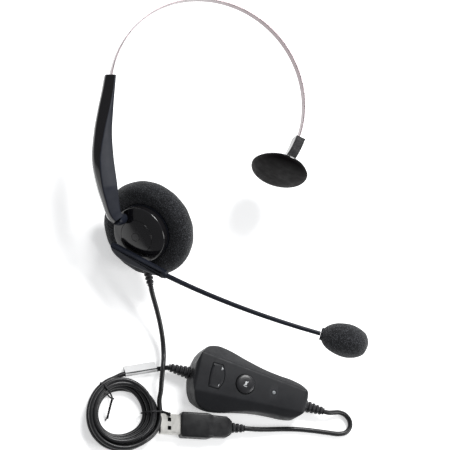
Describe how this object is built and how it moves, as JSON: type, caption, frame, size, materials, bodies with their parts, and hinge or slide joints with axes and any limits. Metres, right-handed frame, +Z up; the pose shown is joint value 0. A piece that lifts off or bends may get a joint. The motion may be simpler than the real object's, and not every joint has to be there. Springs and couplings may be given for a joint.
{
  "type": "office headset",
  "caption": "One-ear office headset: sprung steel headband with T-bar pad, foam ear cushion, swinging microphone boom, coiled cord, in-line control box and USB plug.",
  "frame": {"origin": "on the table, under the middle of the box round the headset and its control box", "axes": "+Z up from the table, +Y from the ear cup towards the crown of the headband, +X from the ear cup towards the T-bar"},
  "size_m": [0.1787, 0.2795, 0.0886],
  "materials": {
    "polished_steel": "thin polished spring steel",
    "plug_steel": "plated sheet steel",
    "small_steel": "plain steel",
    "gloss_black": "moulded, glossy",
    "satin_black": "moulded, satin",
    "box_grey": "moulded, fine satin grain",
    "foam": "open-cell foam with light speckles",
    "pad_rubber": "soft satin rubber",
    "cord_jacket": "satin jacket",
    "relief_rubber": "ribbed satin rubber",
    "label_paper": "blank white paper",
    "board_green": "circuit board",
    "light_pipe": "cloudy clear plastic",
    "button_black": "moulded, satin",
    "tie_wire": "plastic-coated wire"
  },
  "bodies": {
    "earcup": {"housing_shell": "gloss_black", "swivel_stub": "satin_black", "speaker_baffle": "satin_black", "speaker_driver": "small_steel", "speaker_grille": "satin_black", "ear_cushion": "foam", "cup_strain_relief": "relief_rubber", "housing_screw_1": "small_steel", "housing_screw_2": "small_steel", "boom_pivot_screw": "small_steel", "box_top_shell": "box_grey", "box_bottom_shell": "box_grey", "box_screw_1": "small_steel", "box_screw_2": "small_steel", "circuit_board": "board_green", "mute_switch": "satin_black", "volume_switch_up": "satin_black", "volume_switch_down": "satin_black", "rocker_pin": "small_steel", "led_light_pipe": "light_pipe", "box_strain_relief_in": "relief_rubber", "box_strain_relief_out": "relief_rubber", "cord_cup_to_coil": "cord_jacket", "cord_coil_to_box": "cord_jacket", "cord_box_to_plug": "cord_jacket", "cord_coil": "cord_jacket", "twist_tie_1": "tie_wire", "twist_tie_2": "tie_wire", "cord_label": "label_paper", "usb_shell": "plug_steel", "usb_tongue": "satin_black", "usb_overmould": "satin_black", "usb_strain_relief": "relief_rubber"},
    "arm": {"arm_front_shell": "satin_black", "arm_back_shell": "gloss_black", "arm_screw": "small_steel"},
    "headband": {"headband_strip": "polished_steel", "band_end_stop": "pad_rubber", "t_bar_sleeve": "gloss_black", "t_pad_pin": "small_steel"},
    "t_pad": {"t_pad_plate": "gloss_black", "t_pad_cushion": "pad_rubber"},
    "boom": {"boom_turntable": "satin_black", "boom_root": "gloss_black", "boom_tube": "satin_black", "mic_holder": "satin_black", "mic_capsule": "small_steel", "mic_windscreen": "foam"},
    "mute": {"mute_button": "button_black"},
    "rocker": {"volume_rocker": "box_grey"}
  },
  "joints": [
    {"name": "arm_swivel", "type": "hinge", "parent": "earcup", "child": "arm", "pos_m": [-0.06511, -0.01581, 0.03808], "axis": [-0.6157, 0.788, 0], "range_deg": [-20, 20]},
    {"name": "headband_slide", "type": "hinge", "parent": "arm", "child": "headband", "pos_m": [-0.0076, 0.0646, 0.0381], "axis": [0, 0, -1], "range_deg": [0, 12]},
    {"name": "t_pad_tilt", "type": "hinge", "parent": "headband", "child": "t_pad", "pos_m": [0.04088, 0.02716, 0.0381], "axis": [0, 0, -1], "range_deg": [-20, 70]},
    {"name": "boom_swing", "type": "hinge", "parent": "earcup", "child": "boom", "pos_m": [-0.0523, -0.0261, 0.0356], "axis": [-0.6581, -0.5142, 0.55], "range_deg": [-15, 120]},
    {"name": "mute_press", "type": "slide", "parent": "earcup", "child": "mute", "axis": [0, 0, -1], "range_m": [0, 0.0008], "stiffness_N_per_m": 200},
    {"name": "volume_rock", "type": "hinge", "parent": "earcup", "child": "rocker", "pos_m": [0.00554, -0.10476, 0.0142], "axis": [0.9767, -0.2147, 0], "range_deg": [-3, 3], "stiffness_Nm_per_rad": 0.2}
  ]
}
